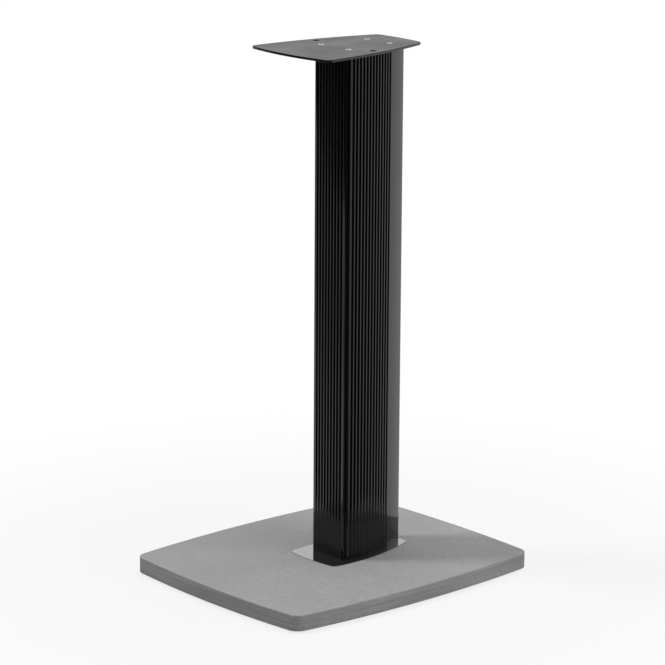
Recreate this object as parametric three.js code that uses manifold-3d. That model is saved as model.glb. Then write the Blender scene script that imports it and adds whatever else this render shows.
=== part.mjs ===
// Speaker stand: a thin top plate on a fluted pillar, which stands on a heavy cast slab.
// Millimetres. +Z is up and the front faces -Y. The origin is on the floor, under the middle
// of the slab. Every outline is a bowed trapezium: four outward arcs with rounded corners.
import * as THREE from 'three';
import { mergeVertices } from 'three/addons/utils/BufferGeometryUtils.js';
import Module from 'manifold-3d';

// Clearances between separate pieces
const FIT_GAP = 0.3;
const SCREW_GAP = 0.3;

// Slab, measured over its bows
const SLAB_WIDTH = 330;
const SLAB_DEPTH = 400;
const SLAB_THICKNESS = 20;
const SLAB_FRONT_BOW = 8.5;
const SLAB_SIDE_BOW = 12.3;
const SLAB_BACK_BOW = 7;
const SLAB_CORNER_RADIUS = 16;
const SLAB_ARRIS = 0.7;

// Pillar: its foremost point stands ahead of the slab's middle. Its length is measured over
// its bows, and its widths between the ends of the chords.
const PILLAR_HEIGHT = 636.7;
const PILLAR_FRONT_LEAD = 8.6;
const PILLAR_LENGTH = 112;
const PILLAR_FRONT_WIDTH = 62.7;
const PILLAR_BACK_WIDTH = 25.5;
const PILLAR_FRONT_BOW = 1.3;
const PILLAR_SIDE_BOW = 7.4;
const PILLAR_BACK_BOW = 2.4;
const PILLAR_FRONT_RADIUS = 5.2;
const PILLAR_BACK_RADIUS = 8;
const PILLAR_WALL = 4.5;
const CHANNEL_WALL = 3;
const WEB_SETBACK = 72;
const WEB_THICKNESS = 3.4;

// Flutes: one in each front corner, with a wider land on both sides of it, and others evenly
// along the front and both flanks. None reaches farther round from the front's middle than
// the last value, so the rear stays smooth.
const FLUTE_PITCH = 5.5;
const FLUTE_WIDTH = 3.8;
const FLUTE_FLOOR = 2.6;
const FLUTE_DEPTH = 2;
const CORNER_LEAD = 7.8;
const FLUTED_REACH = 108;

// Screw ports inside the pillar, from its foremost point and in from its flanks
const FRONT_PORT_SETBACK = 7.4;
const FRONT_PORT_EDGE = 7;
const REAR_PORT_SETBACK = 78.2;
const REAR_PORT_EDGE = 4;
const PORT_WALL_RADIUS = 4.7;
const PORT_CORE_RADIUS = 1.7;

// Rear cover: a strip in a rebate of the pillar's back, with two legs in the cable channel
const COVER_WIDTH = 22;
const COVER_DEPTH = 3.2;
const COVER_LEG_SPREAD = 17;
const COVER_LEG_THICKNESS = 1.4;
const COVER_LEG_LENGTH = 8;
const COVER_LEG_ROOT = 0.8;
const CABLE_WINDOW = 20;

// Steel plate let into the slab's top
const INSERT_THICKNESS = 5;
const INSERT_PROUD = 0.3;
const INSERT_LEAD = 25.2;
const INSERT_LENGTH = 139.2;
const INSERT_FRONT_WIDTH = 82.6;
const INSERT_BACK_WIDTH = 45.4;
const INSERT_FRONT_BOW = 3.5;
const INSERT_SIDE_BOW = 9.6;
const INSERT_BACK_BOW = 0.6;
const INSERT_FRONT_RADIUS = 7.5;
const INSERT_BACK_RADIUS = 4;

// Top plate: its front corners stand ahead of the pillar
const PLATE_THICKNESS = 3;
const PLATE_LEAD = 64.9;
const PLATE_LENGTH = 178;
const PLATE_FRONT_WIDTH = 142.6;
const PLATE_BACK_WIDTH = 80;
const PLATE_FRONT_BOW = 7.5;
const PLATE_SIDE_BOW = 7.3;
const PLATE_BACK_BOW = 2.8;
const PLATE_CORNER_RADIUS = 8;
const SPEAKER_HOLE_RADIUS = 4.5;
const SPEAKER_HOLE_SETBACK = 87.7;
const SPEAKER_HOLE_EDGE = 11.8;

// Countersunk screws of the top plate
const TOP_SCREW_RADIUS = 2;
const TOP_SCREW_HEAD_RADIUS = 4;
const TOP_SCREW_LENGTH = 18;
const TOP_SCREW_SINK = 0.1;
const TOP_SCREW_KEY = 2.5;
const TOP_SCREW_KEY_DEPTH = 1.4;

// Socket screws and washers of the slab
const BASE_BOLT_RADIUS = 2.5;
const BASE_BOLT_LENGTH = 40;
const BASE_BOLT_HEAD_RADIUS = 4.25;
const BASE_BOLT_HEAD_HEIGHT = 5;
const BASE_BOLT_KEY = 4;
const BASE_BOLT_KEY_DEPTH = 2.5;
const WASHER_RADIUS = 5;
const WASHER_THICKNESS = 1;
const BOLT_POCKET_DEPTH = 9;
const BOLT_POCKET_GAP = 1;

// Levelling feet, shown screwed fully in
const FOOT_INSET_X = 45;
const FOOT_INSET_Y = 48;
const FOOT_PROUD = 2.5;
const FOOT_RECESS_DEPTH = 4;
const FOOT_RADIUS = 16;
const FOOT_RECESS_GAP = 1;
const STEM_RADIUS = 4;
const STEM_SHY = 0.5;
const SOLE_THICKNESS = 2;
const SOLE_RADIUS = 15;
const BUSH_RADIUS = 6;
const BUSH_COVER = 2.5;

// How finely the curves are cut
const BOW_STEPS = 10;
const CORNER_STEPS = 6;
const LAND_STEP = 1.2;
const ROUND_SIDES = 24;
const OVERCUT = 2;
const LEAST_FILLET = 1;
const MERGE_TOLERANCE = 1e-4;
const TURN_TOLERANCE = 1e-9;

// An outline's arcs run front, corner, right side, corner, back, corner, left side, corner
const RIGHT_SIDE_ARC = 2;
const BACK_ARC = 4;

const manifold = await Module();
manifold.setup();

// Levels, from the floor up
const slabUnder = FOOT_PROUD;
const slabTop = slabUnder + SLAB_THICKNESS;
const insertTop = slabTop + INSERT_PROUD;
const insertUnder = insertTop - INSERT_THICKNESS;
const pillarTop = insertTop + PILLAR_HEIGHT;
const plateTop = pillarTop + PLATE_THICKNESS;
const pillarFront = -PILLAR_FRONT_LEAD;
const boltPocketTop = slabUnder + BOLT_POCKET_DEPTH;
const boltSeat = boltPocketTop - WASHER_THICKNESS;
const boltTip = boltSeat + BASE_BOLT_LENGTH;
const footRecessTop = slabUnder + FOOT_RECESS_DEPTH;
const bushHoleTop = slabTop - BUSH_COVER;
const bushTop = bushHoleTop - FIT_GAP;
const screwTop = plateTop - TOP_SCREW_SINK;
const screwTip = screwTop - TOP_SCREW_LENGTH;

const slabForm = {
  front: SLAB_FRONT_BOW - SLAB_DEPTH / 2,
  back: SLAB_DEPTH / 2 - SLAB_BACK_BOW,
  halfFront: SLAB_WIDTH / 2 - SLAB_SIDE_BOW,
  halfBack: SLAB_WIDTH / 2 - SLAB_SIDE_BOW,
  bowFront: SLAB_FRONT_BOW,
  bowSide: SLAB_SIDE_BOW,
  bowBack: SLAB_BACK_BOW,
  radiusFront: SLAB_CORNER_RADIUS,
  radiusBack: SLAB_CORNER_RADIUS,
};

const pillarForm = {
  front: pillarFront + PILLAR_FRONT_BOW,
  back: pillarFront + PILLAR_LENGTH - PILLAR_BACK_BOW,
  halfFront: PILLAR_FRONT_WIDTH / 2,
  halfBack: PILLAR_BACK_WIDTH / 2,
  bowFront: PILLAR_FRONT_BOW,
  bowSide: PILLAR_SIDE_BOW,
  bowBack: PILLAR_BACK_BOW,
  radiusFront: PILLAR_FRONT_RADIUS,
  radiusBack: PILLAR_BACK_RADIUS,
};

const insertForm = {
  front: pillarFront - INSERT_LEAD,
  back: pillarFront - INSERT_LEAD + INSERT_LENGTH,
  halfFront: INSERT_FRONT_WIDTH / 2,
  halfBack: INSERT_BACK_WIDTH / 2,
  bowFront: INSERT_FRONT_BOW,
  bowSide: INSERT_SIDE_BOW,
  bowBack: INSERT_BACK_BOW,
  radiusFront: INSERT_FRONT_RADIUS,
  radiusBack: INSERT_BACK_RADIUS,
};

const plateForm = {
  front: pillarFront - PLATE_LEAD,
  back: pillarFront - PLATE_LEAD + PLATE_LENGTH,
  halfFront: PLATE_FRONT_WIDTH / 2,
  halfBack: PLATE_BACK_WIDTH / 2,
  bowFront: PLATE_FRONT_BOW,
  bowSide: PLATE_SIDE_BOW,
  bowBack: PLATE_BACK_BOW,
  radiusFront: PLATE_CORNER_RADIUS,
  radiusBack: PLATE_CORNER_RADIUS,
};

// The circle through two points that bulges out by the bow, to the right of the way from a to b
function bowCircle(a, b, bow) {
  const chord = b.clone().sub(a);
  const length = chord.length();
  const radius = (length * length / 4 + bow * bow) / (2 * bow);
  const outward = new THREE.Vector2(chord.y, -chord.x).normalize();
  const centre = a.clone().add(b).multiplyScalar(0.5).addScaledVector(outward, bow - radius);
  return { centre, radius };
}

// Where two circles meet, on the side nearest to a given point
function circlesMeet(c1, r1, c2, r2, near) {
  const between = c2.clone().sub(c1);
  const gap = between.length();
  const along = (r1 * r1 - r2 * r2 + gap * gap) / (2 * gap);
  const across = Math.sqrt(Math.max(r1 * r1 - along * along, 0));
  const foot = c1.clone().addScaledVector(between, along / gap);
  const side = new THREE.Vector2(-between.y, between.x).multiplyScalar(across / gap);
  const one = foot.clone().add(side);
  const two = foot.clone().sub(side);
  return one.distanceTo(near) < two.distanceTo(near) ? one : two;
}

// The arcs of an outline, counter-clockwise from the left end of the front arc.
// A positive inset moves every arc inward and keeps the same centres.
function outlineArcs(form, inset) {
  const corners = [
    new THREE.Vector2(-form.halfFront, form.front),
    new THREE.Vector2(form.halfFront, form.front),
    new THREE.Vector2(form.halfBack, form.back),
    new THREE.Vector2(-form.halfBack, form.back),
  ];
  const bows = [form.bowFront, form.bowSide, form.bowBack, form.bowSide];
  const fillets = [form.radiusFront, form.radiusFront, form.radiusBack, form.radiusBack];
  const sides = bows.map((bow, i) => bowCircle(corners[i], corners[(i + 1) % 4], bow));
  const radii = fillets.map((radius) => Math.max(radius - inset, LEAST_FILLET));
  const pivots = corners.map((corner, i) => {
    const before = sides[(i + 3) % 4];
    const after = sides[i];
    const shrink = inset + radii[i];
    const reach = before.radius - shrink;
    return circlesMeet(before.centre, reach, after.centre, after.radius - shrink, corner);
  });
  const arcs = [];
  sides.forEach((side, i) => {
    const next = (i + 1) % 4;
    const start = pivots[i].clone().sub(side.centre).angle();
    const end = pivots[next].clone().sub(side.centre).angle();
    const turn = pivots[next].clone().sub(sides[next].centre).angle();
    arcs.push({ centre: side.centre, radius: side.radius - inset, start, sweep: sweepOf(start, end) });
    arcs.push({ centre: pivots[next], radius: radii[next], start: end, sweep: sweepOf(end, turn) });
  });
  return arcs;
}

// The counter-clockwise turn from one angle to the next, without a full circle
function sweepOf(start, end) {
  const full = 2 * Math.PI;
  const sweep = (end - start + 2 * full) % full;
  return sweep > full - TURN_TOLERANCE ? 0 : sweep;
}

function arcPoint(arc, share) {
  const angle = arc.start + arc.sweep * share;
  const outward = new THREE.Vector2(Math.cos(angle), Math.sin(angle));
  return { point: arc.centre.clone().addScaledVector(outward, arc.radius), outward };
}

// Every second arc is a rounded corner
function arcSteps(index) {
  return index % 2 === 0 ? BOW_STEPS : CORNER_STEPS;
}

function outlinePoints(form, inset = 0) {
  const points = [];
  outlineArcs(form, inset).forEach((arc, index) => {
    const steps = arcSteps(index);
    for (let i = 0; i < steps; i += 1) points.push(arcPoint(arc, i / steps).point);
  });
  return points;
}

// The half width of an outline at a given y, on its side arc
function halfWidthAt(form, y) {
  const side = outlineArcs(form, 0)[RIGHT_SIDE_ARC];
  return side.centre.x + Math.sqrt(side.radius * side.radius - (y - side.centre.y) ** 2);
}

// A point on the right half of an outline, by its distance round from the front's middle
function pointAlong(arcs, distance) {
  let left = distance + arcs[0].radius * arcs[0].sweep / 2;
  for (const arc of arcs) {
    const length = arc.radius * arc.sweep;
    if (left <= length) return arcPoint(arc, left / length);
    left -= length;
  }
  return arcPoint(arcs[0], 0);
}

// How far round from the front's middle the flutes of one half stand
function fluteMiddles(arcs) {
  const front = arcs[0].radius * arcs[0].sweep / 2;
  const corner = front + arcs[1].radius * arcs[1].sweep / 2;
  const first = corner + CORNER_LEAD;
  const reach = FLUTED_REACH - FLUTE_WIDTH / 2;
  const middles = [];
  for (let at = 0; at <= corner - CORNER_LEAD; at += FLUTE_PITCH) middles.push(at);
  middles.push(corner);
  for (let at = first; at <= reach; at += FLUTE_PITCH) middles.push(at);
  return middles;
}

// Half of the fluted outline, from the front's middle round to the middle of the back
function flutedHalf(form) {
  const arcs = outlineArcs(form, 0);
  const middles = fluteMiddles(arcs);
  const points = [];
  const put = (distance, depth) => {
    const { point, outward } = pointAlong(arcs, distance);
    points.push(point.addScaledVector(outward, -depth));
  };
  middles.forEach((middle, i) => {
    if (i > 0) {
      const from = middles[i - 1] + FLUTE_WIDTH / 2;
      const land = middle - FLUTE_WIDTH / 2 - from;
      const steps = Math.ceil(land / LAND_STEP);
      for (let step = 1; step <= steps; step += 1) put(from + land * step / steps, 0);
      put(middle - FLUTE_FLOOR / 2, FLUTE_DEPTH);
    }
    put(middle + FLUTE_FLOOR / 2, FLUTE_DEPTH);
    put(middle + FLUTE_WIDTH / 2, 0);
  });
  return points.concat(smoothRear(arcs, middles.at(-1) + FLUTE_WIDTH / 2));
}

// The smooth outline from a distance past the flutes to just short of the back's middle
function smoothRear(arcs, from) {
  const points = [];
  let travelled = -arcs[0].radius * arcs[0].sweep / 2;
  arcs.slice(0, BACK_ARC + 1).forEach((arc, index) => {
    const length = arc.radius * arc.sweep;
    const steps = 2 * arcSteps(index);
    for (let i = 0; i < steps; i += 1) {
      const share = i / steps;
      const beforeMiddle = index < BACK_ARC || share < 0.5;
      const pastFlutes = travelled + length * share > from;
      if (pastFlutes && beforeMiddle) points.push(arcPoint(arc, share).point);
    }
    travelled += length;
  });
  return points;
}

function flutedPoints(form) {
  const right = flutedHalf(form);
  const left = right.map((p) => new THREE.Vector2(-p.x, p.y)).reverse();
  return right.concat(left);
}

function prism(points, low, high) {
  const shape = new THREE.Shape(points);
  const geometry = new THREE.ExtrudeGeometry(shape, { depth: high - low, bevelEnabled: false });
  return geometry.translate(0, 0, low);
}

function block(x1, x2, y1, y2, z1, z2) {
  const geometry = new THREE.BoxGeometry(x2 - x1, y2 - y1, z2 - z1);
  return geometry.translate((x1 + x2) / 2, (y1 + y2) / 2, (z1 + z2) / 2);
}

// A body turned round an upright axis, from pairs of radius and level going up from the axis
function turned(profile, at = { x: 0, y: 0 }, sides = ROUND_SIDES) {
  const points = profile.map(([radius, level]) => new THREE.Vector2(radius, level));
  const geometry = new THREE.LatheGeometry(points, sides);
  return geometry.rotateX(Math.PI / 2).translate(at.x, at.y, 0);
}

function rod(radius, low, high, at, sides = ROUND_SIDES) {
  return turned([[0, low], [radius, low], [radius, high], [0, high]], at, sides);
}

function toSolid(geometry) {
  const bare = geometry.clone();
  bare.deleteAttribute('normal');
  bare.deleteAttribute('uv');
  const merged = mergeVertices(bare, MERGE_TOLERANCE);
  const solid = new manifold.Mesh({
    numProp: 3,
    vertProperties: new Float32Array(merged.attributes.position.array),
    triVerts: new Uint32Array(merged.index.array),
  });
  return new manifold.Manifold(solid);
}

function toGeometry(solid) {
  const mesh = solid.getMesh();
  const geometry = new THREE.BufferGeometry();
  geometry.setAttribute('position', new THREE.BufferAttribute(mesh.vertProperties, 3));
  geometry.setIndex(new THREE.BufferAttribute(mesh.triVerts, 1));
  return geometry;
}

function cut(geometry, tools) {
  const solid = tools.reduce((body, tool) => body.subtract(toSolid(tool)), toSolid(geometry));
  return toGeometry(solid);
}

// Where the screws run, the same four places at both ends of the pillar
function portPlaces() {
  const frontY = pillarFront + FRONT_PORT_SETBACK;
  const rearY = pillarFront + REAR_PORT_SETBACK;
  const frontX = halfWidthAt(pillarForm, frontY) - FRONT_PORT_EDGE;
  const rearX = halfWidthAt(pillarForm, rearY) - REAR_PORT_EDGE;
  return [
    { name: 'front_left', x: -frontX, y: frontY },
    { name: 'front_right', x: frontX, y: frontY },
    { name: 'back_left', x: -rearX, y: rearY },
    { name: 'back_right', x: rearX, y: rearY },
  ];
}

function footPlaces() {
  const x = SLAB_WIDTH / 2 - FOOT_INSET_X;
  const y = SLAB_DEPTH / 2 - FOOT_INSET_Y;
  return [
    { name: 'front_left', x: -x, y: -y },
    { name: 'front_right', x, y: -y },
    { name: 'back_left', x: -x, y },
    { name: 'back_right', x, y },
  ];
}

const ports = portPlaces();
const feet = footPlaces();

// The slab has a thin chamfer on its edges, a pocket for the steel plate, and holes from below
function slabGeometry() {
  const shape = new THREE.Shape(outlinePoints(slabForm));
  const body = new THREE.ExtrudeGeometry(shape, {
    depth: SLAB_THICKNESS - 2 * SLAB_ARRIS,
    bevelEnabled: true,
    bevelThickness: SLAB_ARRIS,
    bevelSize: SLAB_ARRIS,
    bevelOffset: -SLAB_ARRIS,
    bevelSegments: 1,
  });
  body.translate(0, 0, slabUnder + SLAB_ARRIS);
  const pocket = prism(outlinePoints(insertForm, -FIT_GAP), insertUnder, slabTop + OVERCUT);
  const below = slabUnder - OVERCUT;
  const tools = [pocket];
  ports.forEach((port) => {
    tools.push(rod(BASE_BOLT_RADIUS + SCREW_GAP, below, slabTop, port));
    tools.push(rod(WASHER_RADIUS + BOLT_POCKET_GAP, below, boltPocketTop, port));
  });
  feet.forEach((foot) => {
    tools.push(rod(FOOT_RADIUS + FOOT_RECESS_GAP, below, footRecessTop, foot));
    tools.push(rod(BUSH_RADIUS + FIT_GAP, below, bushHoleTop, foot));
  });
  return cut(body, tools);
}

function insertGeometry() {
  const body = prism(outlinePoints(insertForm), insertUnder, insertTop);
  const holes = ports.map((port) => (
    rod(BASE_BOLT_RADIUS + SCREW_GAP, insertUnder - OVERCUT, insertTop + OVERCUT, port)
  ));
  return cut(body, holes);
}

// The hollow ahead of the web, less the walls round the screw ports
function frontHollow(low, high) {
  const web = pillarFront + WEB_SETBACK;
  const inside = toSolid(prism(outlinePoints(pillarForm, PILLAR_WALL), low, high));
  const ahead = toSolid(block(-PILLAR_LENGTH, PILLAR_LENGTH, -PILLAR_LENGTH, web, low, high));
  const posts = ports.map((port) => toSolid(rod(PORT_WALL_RADIUS, low, high, port)));
  return posts.reduce((body, post) => body.subtract(post), inside.intersect(ahead));
}

// The cable channel behind the web, with its mouth and the rebate of the rear cover
function rearChannel(low, high) {
  const web = pillarFront + WEB_SETBACK + WEB_THICKNESS;
  const far = pillarForm.back + PILLAR_LENGTH;
  const inside = toSolid(prism(outlinePoints(pillarForm, CHANNEL_WALL), low, high));
  const behind = toSolid(block(-PILLAR_LENGTH, PILLAR_LENGTH, web, far, low, high));
  const posts = ports.map((port) => toSolid(rod(PORT_WALL_RADIUS, low, high, port)));
  const channel = posts.reduce((body, post) => body.subtract(post), inside.intersect(behind));
  const mouthHalf = COVER_LEG_SPREAD / 2 + FIT_GAP;
  const mouth = toSolid(block(-mouthHalf, mouthHalf, coverSeat() - COVER_LEG_LENGTH, far, low, high));
  const rebateHalf = COVER_WIDTH / 2 + FIT_GAP;
  const rebate = toSolid(block(-rebateHalf, rebateHalf, coverSeat(), far, low, high));
  return channel.add(mouth).add(rebate);
}

// The level that the cover's back lies on, measured in from the pillar's rearmost point
function coverSeat() {
  return pillarForm.back + PILLAR_BACK_BOW - COVER_DEPTH;
}

function pillarGeometry() {
  const low = insertTop - OVERCUT;
  const high = pillarTop + OVERCUT;
  const body = toSolid(prism(flutedPoints(pillarForm), insertTop, pillarTop));
  let solid = body.subtract(frontHollow(low, high)).subtract(rearChannel(low, high));
  ports.forEach((port) => {
    const core = rod(PORT_CORE_RADIUS, low, high, port);
    const below = rod(BASE_BOLT_RADIUS + SCREW_GAP, low, boltTip + OVERCUT, port);
    const above = countersink(port, screwTip - OVERCUT, plateTop + OVERCUT);
    [core, below, above].forEach((hole) => {
      solid = solid.subtract(toSolid(hole));
    });
  });
  return toGeometry(solid);
}

function coverGeometry() {
  const low = insertTop + CABLE_WINDOW;
  const high = pillarTop - CABLE_WINDOW;
  const seat = coverSeat() + FIT_GAP;
  const half = COVER_WIDTH / 2;
  const outer = toSolid(prism(outlinePoints(pillarForm), low, high));
  const strip = outer.intersect(toSolid(block(-half, half, seat, seat + PILLAR_LENGTH, low, high)));
  const spread = COVER_LEG_SPREAD / 2;
  const inner = spread - COVER_LEG_THICKNESS;
  const tip = seat - COVER_LEG_LENGTH;
  const root = seat + COVER_LEG_ROOT;
  const right = toSolid(block(inner, spread, tip, root, low, high));
  const left = toSolid(block(-spread, -inner, tip, root, low, high));
  return toGeometry(strip.add(right).add(left));
}

function plateGeometry() {
  const body = prism(outlinePoints(plateForm), pillarTop, plateTop);
  const below = pillarTop - OVERCUT;
  const above = plateTop + OVERCUT;
  const tools = ports.map((port) => countersink(port, below, above));
  speakerHoles().forEach((hole) => tools.push(rod(SPEAKER_HOLE_RADIUS, below, above, hole)));
  return cut(body, tools);
}

function speakerHoles() {
  const y = plateForm.front + SPEAKER_HOLE_SETBACK;
  const x = halfWidthAt(plateForm, y) - SPEAKER_HOLE_EDGE;
  return [{ x: -x, y }, { x, y }];
}

// A right-angled countersink, wider than the screw all round by the screw's clearance
function countersink(port, below, above) {
  const hole = TOP_SCREW_RADIUS + SCREW_GAP;
  const mouth = TOP_SCREW_HEAD_RADIUS + SCREW_GAP;
  const throat = screwTop - (mouth - hole);
  return turned([
    [0, below], [hole, below], [hole, throat],
    [mouth, screwTop], [mouth, above], [0, above],
  ], port);
}

// A hexagonal key socket, by its width across the flats
function hexKey(width, low, high, at) {
  return rod(width / Math.sqrt(3), low, high, at, 6);
}

function topScrewGeometry(port) {
  const throat = screwTop - (TOP_SCREW_HEAD_RADIUS - TOP_SCREW_RADIUS);
  const body = turned([
    [0, screwTip], [TOP_SCREW_RADIUS, screwTip], [TOP_SCREW_RADIUS, throat],
    [TOP_SCREW_HEAD_RADIUS, screwTop], [0, screwTop],
  ], port);
  return cut(body, [hexKey(TOP_SCREW_KEY, screwTop - TOP_SCREW_KEY_DEPTH, screwTop + OVERCUT, port)]);
}

function baseBoltGeometry(port) {
  const under = boltSeat - BASE_BOLT_HEAD_HEIGHT;
  const body = turned([
    [0, under], [BASE_BOLT_HEAD_RADIUS, under], [BASE_BOLT_HEAD_RADIUS, boltSeat],
    [BASE_BOLT_RADIUS, boltSeat], [BASE_BOLT_RADIUS, boltTip], [0, boltTip],
  ], port);
  return cut(body, [hexKey(BASE_BOLT_KEY, under - OVERCUT, under + BASE_BOLT_KEY_DEPTH, port)]);
}

function washerGeometry(port) {
  const body = rod(WASHER_RADIUS, boltSeat, boltPocketTop, port);
  const bore = BASE_BOLT_RADIUS + SCREW_GAP;
  return cut(body, [rod(bore, boltSeat - OVERCUT, boltPocketTop + OVERCUT, port)]);
}

function bushGeometry(foot) {
  const body = rod(BUSH_RADIUS, footRecessTop, bushTop, foot);
  const bore = STEM_RADIUS + SCREW_GAP;
  return cut(body, [rod(bore, footRecessTop - OVERCUT, bushTop + OVERCUT, foot)]);
}

// A foot's disc stops just short of the bush when it is screwed fully in
function glideGeometry(foot) {
  const discTop = footRecessTop - FIT_GAP;
  const stemTop = bushTop - STEM_SHY;
  return turned([
    [0, SOLE_THICKNESS], [FOOT_RADIUS, SOLE_THICKNESS], [FOOT_RADIUS, discTop],
    [STEM_RADIUS, discTop], [STEM_RADIUS, stemTop], [0, stemTop],
  ], foot);
}

function soleGeometry(foot) {
  return rod(SOLE_RADIUS, 0, SOLE_THICKNESS, foot);
}

const looks = {
  concrete: { color: 0xa9a9a6, roughness: 0.85, metalness: 0 },
  polishedSteel: { color: 0xc8c8c8, roughness: 0.12, metalness: 1 },
  blackAnodised: { color: 0x17181a, roughness: 0.35, metalness: 0.6 },
  blackPowder: { color: 0x2b2c2e, roughness: 0.5, metalness: 0.2 },
  zincScrew: { color: 0xd0d0d0, roughness: 0.3, metalness: 1 },
  blackScrew: { color: 0x1c1c1e, roughness: 0.5, metalness: 0.7 },
  brass: { color: 0xb08d57, roughness: 0.4, metalness: 1 },
  steel: { color: 0x8f9194, roughness: 0.35, metalness: 1 },
  rubber: { color: 0x141414, roughness: 0.9, metalness: 0 },
};

function addPiece(group, name, geometry, look) {
  const mesh = new THREE.Mesh(geometry, new THREE.MeshStandardMaterial(look));
  mesh.name = name;
  group.add(mesh);
}

function buildStand() {
  const stand = new THREE.Group();
  addPiece(stand, 'base_slab', slabGeometry(), looks.concrete);
  addPiece(stand, 'base_insert_plate', insertGeometry(), looks.polishedSteel);
  addPiece(stand, 'pillar_profile', pillarGeometry(), looks.blackAnodised);
  addPiece(stand, 'rear_cable_cover', coverGeometry(), looks.blackAnodised);
  addPiece(stand, 'top_plate', plateGeometry(), looks.blackPowder);
  ports.forEach((port) => {
    addPiece(stand, `top_screw_${port.name}`, topScrewGeometry(port), looks.zincScrew);
    addPiece(stand, `base_bolt_${port.name}`, baseBoltGeometry(port), looks.blackScrew);
    addPiece(stand, `base_washer_${port.name}`, washerGeometry(port), looks.steel);
  });
  feet.forEach((foot) => {
    addPiece(stand, `foot_bush_${foot.name}`, bushGeometry(foot), looks.brass);
    addPiece(stand, `foot_glide_${foot.name}`, glideGeometry(foot), looks.steel);
    addPiece(stand, `foot_sole_${foot.name}`, soleGeometry(foot), looks.rubber);
  });
  return stand;
}

const stand = buildStand();
export default stand;
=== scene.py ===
"""The looks of a speaker stand: a fluted black pillar on a cast slab, with a thin top plate.

Sizes are written in millimetres and turned into metres by MM. +Z is up and the front faces -Y.
"""
import math

import bmesh
import bpy
from mathutils import Matrix, Vector


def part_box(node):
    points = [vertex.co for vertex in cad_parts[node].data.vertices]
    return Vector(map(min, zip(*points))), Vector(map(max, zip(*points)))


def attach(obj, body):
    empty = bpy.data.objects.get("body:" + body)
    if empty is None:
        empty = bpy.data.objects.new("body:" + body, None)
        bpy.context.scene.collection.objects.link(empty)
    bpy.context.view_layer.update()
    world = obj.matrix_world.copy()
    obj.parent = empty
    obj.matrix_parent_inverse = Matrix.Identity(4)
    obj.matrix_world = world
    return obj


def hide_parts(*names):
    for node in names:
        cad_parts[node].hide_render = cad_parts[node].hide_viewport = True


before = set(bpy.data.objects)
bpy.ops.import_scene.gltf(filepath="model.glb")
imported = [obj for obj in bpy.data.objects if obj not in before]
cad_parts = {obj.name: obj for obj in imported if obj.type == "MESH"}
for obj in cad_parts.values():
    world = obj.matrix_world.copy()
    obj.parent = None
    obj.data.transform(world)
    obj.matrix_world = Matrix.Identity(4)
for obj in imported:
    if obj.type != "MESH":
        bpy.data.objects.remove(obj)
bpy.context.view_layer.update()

MM = 0.001

# How finely the curves are drawn
BOW_STEPS = 40
CORNER_STEPS = 16
REAR_STEPS = 70
COVER_STEPS = 400
COVER_STRIDE = 8
EDGE_STEPS = 4
ROUND_SIDES = 64
CORE_SIDES = 32
SMOOTH_ANGLE = math.radians(32)
MERGE_DISTANCE = 1e-7

# The four outlines, as in the solids: chords, bows and corner radii
SLAB = dict(front=-191.5, back=193, half_front=152.7, half_back=152.7,
            bows=(8.5, 12.3, 7, 12.3), radii=(16, 16))
PILLAR = dict(front=-7.3, back=101, half_front=31.35, half_back=12.75,
              bows=(1.3, 7.4, 2.4, 7.4), radii=(5.2, 8))
INSERT = dict(front=-33.8, back=105.4, half_front=41.3, half_back=22.7,
              bows=(3.5, 9.6, 0.6, 9.6), radii=(7.5, 4))
PLATE = dict(front=-73.5, back=104.5, half_front=71.3, half_back=40,
             bows=(7.5, 7.3, 2.8, 7.3), radii=(8, 8))
LEAST_RADIUS = 0.5

# Flutes of the pillar, as in the solids: one in each front corner, the others evenly spaced
FLUTE_PITCH = 5.5
CORNER_LEAD = 7.8
FLUTED_REACH = 108
FLUTE_WIDTH = 3.8
# Half of a flute's section, from its floor to its mouth: distance from its middle, depth
FLUTE_SECTION = ((0.2, 2), (0.55, 1.86), (0.9, 1.5), (1.25, 0.95),
                 (1.58, 0.36), (1.7, 0.18), (1.85, 0.06), (2.02, 0))
LAND_STEP = 0.5

# The pillar's inside
PILLAR_WALL = 4.5
CHANNEL_WALL = 3
WEB_FRONT = 63.4
WEB_BACK = 66.8
PORT_RADIUS = 4.7
PORT_CORE = 1.7
PORT_RUN_OUT = 2

# The cable cover on its back: half its width, its seat, and its legs
COVER_HALF = 11
COVER_SEAT = 100.5
COVER_LEG_TIP = 92.5
COVER_LEG_OUT = 8.5
COVER_LEG_IN = 7.1
COVER_STRETCH = 20

# Clearance between pieces, and how far cutting tools run past what they cut
FIT_GAP = 0.3
OVERRUN = 2
PAST = 150

# Edge roundings, bevels, and how far in from a rounding its support line runs
SLAB_EDGE = 0.7
PLATE_EDGE = 0.14
INSERT_EDGE = 0.15
SUPPORT = 0.35
RECESS_BEVEL = 0.4
POCKET_BEVEL = 0.25
HOLE_BEVEL = 0.1
COUNTERSINK_BEVEL = 0.05

# Holes of the top plate
SPEAKER_HOLE_RADIUS = 4.5
SPEAKER_HOLES = ((-51.48, 14.2), (51.48, 14.2))
COUNTERSINK_RADIUS = 4.3
SCREW_HOLE_RADIUS = 2.3

# Screws through the top plate
SCREW_HEAD_RADIUS = 4
SCREW_RADIUS = 2
SCREW_TIP_RADIUS = 1.6
# The worn rim of its head: how far in, how far down
SCREW_RIM = ((0.2, 0.2), (0.06, 0.1), (0.1, 0.03), (0.22, 0))
SCREW_SOCKET = 2.5
SCREW_SOCKET_DEPTH = 1.4

# Bolts through the slab, their washers, and the bores and recesses that they sit in
BOLT_HEAD_RADIUS = 4.25
BOLT_HEAD_HEIGHT = 5
BOLT_FACE_RADIUS = 3
BOLT_RADIUS = 2.5
BOLT_TIP_RADIUS = 2
BOLT_SOCKET = 4
BOLT_SOCKET_DEPTH = 2.5
BOLT_BORE = 2.8
BOLT_RECESS = 6
WASHER_RADIUS = 5

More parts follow.
